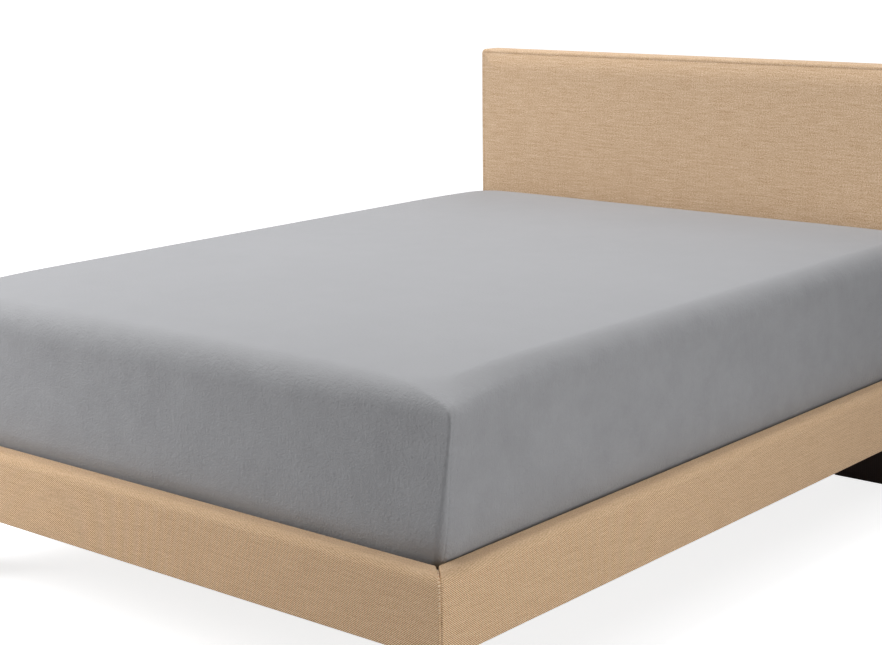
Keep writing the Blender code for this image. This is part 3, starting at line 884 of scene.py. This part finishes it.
def make_rail(name, start, end, place, mitred_end, seed, run_way):
    """A padded rail, mitred at its start; start and end are those of its inner face."""
    section = rail_section()
    across = section_runs(section)
    stations = [("start", distance, inset) for distance, inset in roll_distances(True)]
    for i in range(RAIL_STEPS + 1):
        stations.append(("middle", i / RAIL_STEPS, 0.0))
    stations += [("end", distance, inset)
                 for distance, inset in reversed(roll_distances(mitred_end))]
    points = []
    runs = []
    for kind, value, inset in stations:
        for (out, z, out_way, z_way), v in zip(section, across):
            first = start - out
            last = end + (out if mitred_end else 0.0)
            if kind == "start":
                along = first + value
            elif kind == "end":
                along = last - value
            else:
                along = blend(first + MITRE_FLAT, last - MITRE_FLAT, value)
            swell = RAIL_SWELL * math.sin(math.pi * (z - RAIL_LOW) / (RAIL_TOP - RAIL_LOW))
            loose = RAIL_SLACK * waver(along, out, z, RAIL_SLACK_SIZE, seed)
            shift = (swell + loose) * max(0.0, out_way) - inset
            points.append(place(along, out + out_way * shift, z + z_way * min(shift, 0.0)))
            runs.append((run_way * along, v))
    return piece(name, points, wall_faces(len(stations), len(section)), rail_finish, runs)


def make_rails():
    """The foot rail and the two side rails."""
    gap = MITRE_GAP * math.sqrt(2)
    inner_foot = FOOT_HIGH.y
    foot = make_rail("foot_rail_cover", -RAIL_INNER_X + gap, RAIL_INNER_X - gap,
                     lambda along, out, z: (along, inner_foot - out, z),
                     mitred_end=True, seed=2.0, run_way=1)
    sides = []
    for name, side in (("left", -1), ("right", 1)):
        sides.append(make_rail(
            f"side_rail_{name}_cover", inner_foot + gap, SIDE_HIGH.y,
            lambda along, out, z, side=side: (side * (RAIL_INNER_X + out), along, z),
            mitred_end=False, seed=4.0 + side, run_way=-side))
    return [foot] + sides


def seam_place(section, across, distance, side):
    """The point of a mitre seam at a distance round the section, and its outward way."""
    for i in range(len(section) - 1):
        if across[i + 1] >= distance:
            break
    part = (distance - across[i]) / (across[i + 1] - across[i])
    out, z, out_way, z_way = (blend(a, b, part) for a, b in zip(section[i], section[i + 1]))
    diagonal = out_way / math.sqrt(2)
    return (Vector((side * (RAIL_INNER_X + out), FOOT_HIGH.y - out, z)),
            Vector((side * diagonal, -diagonal, z_way)).normalized())


def tube(path, radius, sides):
    """Rings round a path of points, as a closed tube of points and faces."""
    points = []
    for i, point in enumerate(path):
        way = path[min(i + 1, len(path) - 1)] - path[max(i - 1, 0)]
        turn = way.to_track_quat("Z", "Y")
        swell = radius if 0 < i < len(path) - 1 else 0.4 * radius
        for k in range(sides):
            angle = math.tau * k / sides
            rim = Vector((swell * math.cos(angle), swell * math.sin(angle), 0.0))
            points.append(point + turn @ rim)
    return points, [face[::-1] for face in wall_faces(len(path), sides)]


def make_mitre_thread(side_name, side):
    """Slanting stitches beside one mitred corner of the rails, on the foot rail's cover."""
    section = rail_section()
    across = section_runs(section)
    points = []
    faces = []
    distance = RAIL_TOP - RAIL_LOW + STITCHED_FROM
    while distance < RAIL_TOP - RAIL_LOW + STITCHED_TO:
        seam, outward = seam_place(section, across, distance, side)
        after, _ = seam_place(section, across, distance + STITCH_SLANT, side)
        sunk = seam - outward * MITRE_DEPTH
        end = after + Vector((-side * STITCH_REACH, 0.0, 0.0))
        on_edge = blend(seam, end, 0.35) + outward * THREAD_EDGE_LIFT
        path = [sunk, blend(sunk, on_edge, 0.7), on_edge,
                blend(on_edge, end, 0.6) + outward * THREAD_LIFT,
                end - outward * THREAD_SINK]
        stitch_points, stitch_faces = tube(path, THREAD_RADIUS, 6)
        faces += [tuple(index + len(points) for index in face) for face in stitch_faces]
        points += stitch_points
        distance += STITCH_SPACING
    made = piece(f"mitre_thread_{side_name}", points, faces, thread_finish)
    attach(made, "root")


# Headboard ---------------------------------------------------------------------------
def board_outline(inset):
    """The headboard's outline seen from the foot, from its lower right corner up."""
    radius = HEADBOARD_CORNER - inset
    across = BOARD_HIGH.x - inset - radius
    low = BOARD_LOW.z + inset + radius
    high = BOARD_HIGH.z - inset - radius
    spans = (
        (across, low, -90.0, BOARD_STEPS_ACROSS),
        (across, high, 0.0, BOARD_STEPS_UP),
        (-across, high, 90.0, BOARD_STEPS_ACROSS),
        (-across, low, 180.0, BOARD_STEPS_UP),
    )
    bends = [[(x, z) for x, z, _, _ in arc(*centre, radius, start, start + 90.0, 6)]
             for *centre, start, _ in spans]
    outline = []
    for which, (_, _, _, steps) in enumerate(spans):
        outline += bends[which]
        behind = bends[which][-1]
        after = bends[(which + 1) % 4][0]
        for i in range(1, steps):
            part = i / steps
            outline.append((blend(behind[0], after[0], part),
                            blend(behind[1], after[1], part)))
    return outline


def board_sections():
    """(inset, y) from the middle of the front over the seam and the edge to the back."""
    sections = []
    border = BOARD_LOW.y + HEADBOARD_SET_BACK
    for inset in FRONT_INSETS:
        reach = min(1.0, (inset - HEADBOARD_EDGE) / HEADBOARD_SWELL_REACH)
        crown = HEADBOARD_SWELL * (1.0 - (1.0 - reach) ** 2)
        sections.append((inset, border - crown))
    for off in SEAM_STATIONS:
        inset = HEADBOARD_SEAM_INSET - off * HEADBOARD_SEAM_WIDTH / 2
        dip = HEADBOARD_SEAM_DEPTH * math.exp(-off * off * 2.5)
        sections.append((inset, border + dip))
    for step in range(11):
        turn = math.radians(90 * step / 10)
        inset, back = rolled(HEADBOARD_ROLL, turn)
        sections.append((inset, border + back))
    for step in range(1, 6):
        sections.append((0.0, blend(border + HEADBOARD_ROLL,
                                    BOARD_HIGH.y - HEADBOARD_EDGE, step / 6)))
    for step in range(10, -1, -1):
        turn = math.radians(90 * step / 10)
        inset, forward = rolled(HEADBOARD_EDGE, turn)
        sections.append((inset, BOARD_HIGH.y - forward))
    sections.append((BACK_INSET, BOARD_HIGH.y))
    return sections


def board_row(inset, y):
    """One ring of the headboard; well inside its edge the corner keeps its round."""
    if inset <= HEADBOARD_CORNER:
        return [(x, y, z) for x, z in board_outline(inset)]
    half = BOARD_HIGH.x
    tall = BOARD_HIGH.z - BOARD_LOW.z
    middle = BOARD_LOW.z + tall / 2
    scale_x = (half - inset) / (half - HEADBOARD_CORNER + 0.001)
    scale_z = (tall / 2 - inset) / (tall / 2 - HEADBOARD_CORNER + 0.001)
    return [(x * scale_x, y, middle + (z - middle) * scale_z)
            for x, z in board_outline(HEADBOARD_CORNER - 0.001)]


def board_run(x, y, z):
    """Metres of cloth across and up, folded back over the top and the sides."""
    fold = max(0.0, y - BOARD_LOW.y)
    top_fold = fold if z > BOARD_HIGH.z - HEADBOARD_FOLD else 0.0
    side_fold = math.copysign(fold, x) if abs(x) > BOARD_HIGH.x - HEADBOARD_FOLD else 0.0
    return x + side_fold, z + top_fold


def make_headboard():
    """A padded panel, its front crowned, with a seam round the front edge."""
    rows = np.array([board_row(inset, y) for inset, y in board_sections()])
    flat_from = RAIL_TOP + HEADBOARD_FLAT_FADE
    for point in rows.reshape(-1, 3):
        wave = waver(point[0], 0.0, point[2], HEADBOARD_SLACK_SIZE, seed=7.7)
        point[1] += HEADBOARD_SLACK * wave
        if point[1] < BOARD_LOW.y:    # flat where the bearer and the beam meet it
            flat = ease((flat_from - point[2]) / HEADBOARD_FLAT_FADE)
            point[1] = blend(point[1], BOARD_LOW.y, flat)
    runs = [board_run(x, y, z) for x, y, z in rows.reshape(-1, 3)]
    return ringed_piece("headboard_cover", rows, board_finish, runs)


# Legs and timber ---------------------------------------------------------------------
def make_leg(node):
    """A wide block foot with eased edges, a little narrower at the floor."""
    low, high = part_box(node)
    middle_x = (low.x + high.x) / 2
    middle_y = (low.y + high.y) / 2
    heights = [(0.0, LEG_ROUND), (0.0015, LEG_ROUND * 0.4), (LEG_FOOT_EDGE, 0.0)]
    heights += [(blend(LEG_FOOT_EDGE, high.z - 0.003, i / 6), 0.0) for i in range(1, 7)]
    heights.append((high.z, LEG_TOP_EDGE))
    rows = []
    for z, shrink in heights:
        narrow = LEG_TAPER * (1 - z / high.z) + shrink
        row = []
        for cx, cy, start in ((high.x, low.y, -90), (high.x, high.y, 0),
                              (low.x, high.y, 90), (low.x, low.y, 180)):
            x = cx - math.copysign(narrow + LEG_ROUND, cx - middle_x)
            y = cy - math.copysign(narrow + LEG_ROUND, cy - middle_y)
            for i in range(5):
                turn = math.radians(start + 90 * i / 4)
                row.append((x + LEG_ROUND * math.cos(turn),
                            y + LEG_ROUND * math.sin(turn), z))
        rows.append(row)
    made = ringed_piece(f"{node}_block", np.array(rows[::-1]), leg_finish)
    made.data.set_sharp_from_angle(angle=math.radians(35))
    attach(made, "root")
    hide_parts(node)


def give_timber_finishes():
    """Finishes for the plain timber of the frame, by the way its grain runs."""
    for name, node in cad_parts.items():
        if name.startswith(("slat", "bearer")):
            timber = cross_timber_finish
        elif name.startswith(("cleat", "centre_beam")):
            timber = long_timber_finish
        elif name == "centre_leg":
            timber = leg_finish
        else:
            continue
        node.data.materials.clear()
        node.data.materials.append(timber)


# Stage -------------------------------------------------------------------------------
def make_floor():
    """A pale floor that fades to white away from the bed."""
    reach = FLOOR_REACH
    points = [(-reach, -reach, 0.0), (reach, -reach, 0.0), (reach, reach, 0.0),
              (-reach, reach, 0.0)]
    material, tree, shader = finish("pale_floor", Roughness=0.9)
    shader.inputs["Base Color"].default_value = FLOOR_GREY
    floor = piece("floor", points, [(0, 1, 2, 3)], material)
    away = tree.nodes.new("ShaderNodeVectorMath")
    away.operation = "LENGTH"
    tree.links.new(object_place(tree), away.inputs[0])
    glow_level = ranged(tree, away.outputs["Value"], *FLOOR_FADE, *FLOOR_GLOW)
    seen = tree.nodes.new("ShaderNodeLightPath").outputs["Is Camera Ray"]
    glow = tree.nodes.new("ShaderNodeEmission")
    glow.inputs["Strength"].default_value = 1.0
    tree.links.new(number(tree, "MULTIPLY", seen, glow_level), glow.inputs["Color"])
    both = tree.nodes.new("ShaderNodeAddShader")
    tree.links.new(shader.outputs[0], both.inputs[0])
    tree.links.new(glow.outputs[0], both.inputs[1])
    tree.links.new(both.outputs[0], tree.nodes["Material Output"].inputs["Surface"])


def area_light(name, place, target, size, power):
    """A square soft panel that isn't seen itself."""
    data = bpy.data.lights.new(name, "AREA")
    data.shape = "RECTANGLE"
    data.size = size
    data.size_y = size
    data.energy = power
    lamp = bpy.data.objects.new(name, data)
    bpy.context.scene.collection.objects.link(lamp)
    way = Vector(target) - Vector(place)
    lamp.location = place
    lamp.rotation_euler = way.to_track_quat("-Z", "Y").to_euler()
    lamp.visible_camera = False


def make_lights():
    """Soft panels in a pale studio, placed by compass bearing from the foot and height."""
    world = bpy.data.worlds.new("studio")
    world.use_nodes = True
    tree = world.node_tree
    backdrop = tree.nodes["Background"]
    backdrop.inputs["Color"].default_value = STUDIO_WHITE
    seen = tree.nodes.new("ShaderNodeLightPath").outputs["Is Camera Ray"]
    tree.links.new(number(tree, "MULTIPLY_ADD", seen, 1.0 - STUDIO_GLOW, STUDIO_GLOW),
                   backdrop.inputs["Strength"])
    bpy.context.scene.world = world
    for name, bearing, rise, power in SOFT_PANELS:
        turn = math.radians(bearing)
        lift = math.radians(rise)
        place = (PANEL_REACH * math.sin(turn) * math.cos(lift),
                 -PANEL_REACH * math.cos(turn) * math.cos(lift),
                 PANEL_REACH * math.sin(lift) + PANEL_LIFT)
        area_light(name, place, PANEL_TARGET, PANEL_SIZE, power)
    area_light("low_side_panel", LOW_PANEL_PLACE, LOW_PANEL_TARGET, LOW_PANEL_SIZE,
               LOW_PANEL_WATTS)


def make_camera():
    """The camera, turned from its yaw, pitch and roll in degrees."""
    yaw, pitch, roll = (math.radians(angle)
                        for angle in (CAMERA_YAW, CAMERA_PITCH, CAMERA_ROLL))
    back = Vector((math.sin(yaw) * math.cos(pitch), -math.cos(yaw) * math.cos(pitch),
                   math.sin(pitch)))
    right = (-back).cross(Vector((0, 0, 1))).normalized()
    up = right.cross(-back)
    across = right * math.cos(roll) + up * math.sin(roll)
    upward = up * math.cos(roll) - right * math.sin(roll)
    data = bpy.data.cameras.new("camera")
    data.lens = CAMERA_LENS
    data.sensor_width = 36.0
    camera = bpy.data.objects.new("camera", data)
    bpy.context.scene.collection.objects.link(camera)
    turn = Matrix((across, upward, back)).transposed().to_4x4()
    camera.matrix_world = Matrix.Translation(CAMERA_PLACE) @ turn
    bpy.context.scene.camera = camera


def build():
    """Every piece, its finish and its place, with the stage round them."""
    make_camera()
    mattress = make_mattress()
    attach(mattress, "root")
    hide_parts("mattress")

    sheet = make_sheet()
    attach(sheet, "root")
    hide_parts("fitted_sheet")

    for rail, node in zip(make_rails(), ("foot_rail", "side_rail_left", "side_rail_right")):
        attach(rail, "root")
        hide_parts(node)

    make_mitre_thread("left", -1)
    make_mitre_thread("right", 1)

    headboard = make_headboard()
    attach(headboard, "root")
    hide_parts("headboard")

    for node in ("leg_foot_left", "leg_foot_right", "leg_head_left", "leg_head_right"):
        make_leg(node)
    give_timber_finishes()
    make_floor()
    make_lights()
    bpy.context.scene.view_settings.view_transform = "Standard"


build()
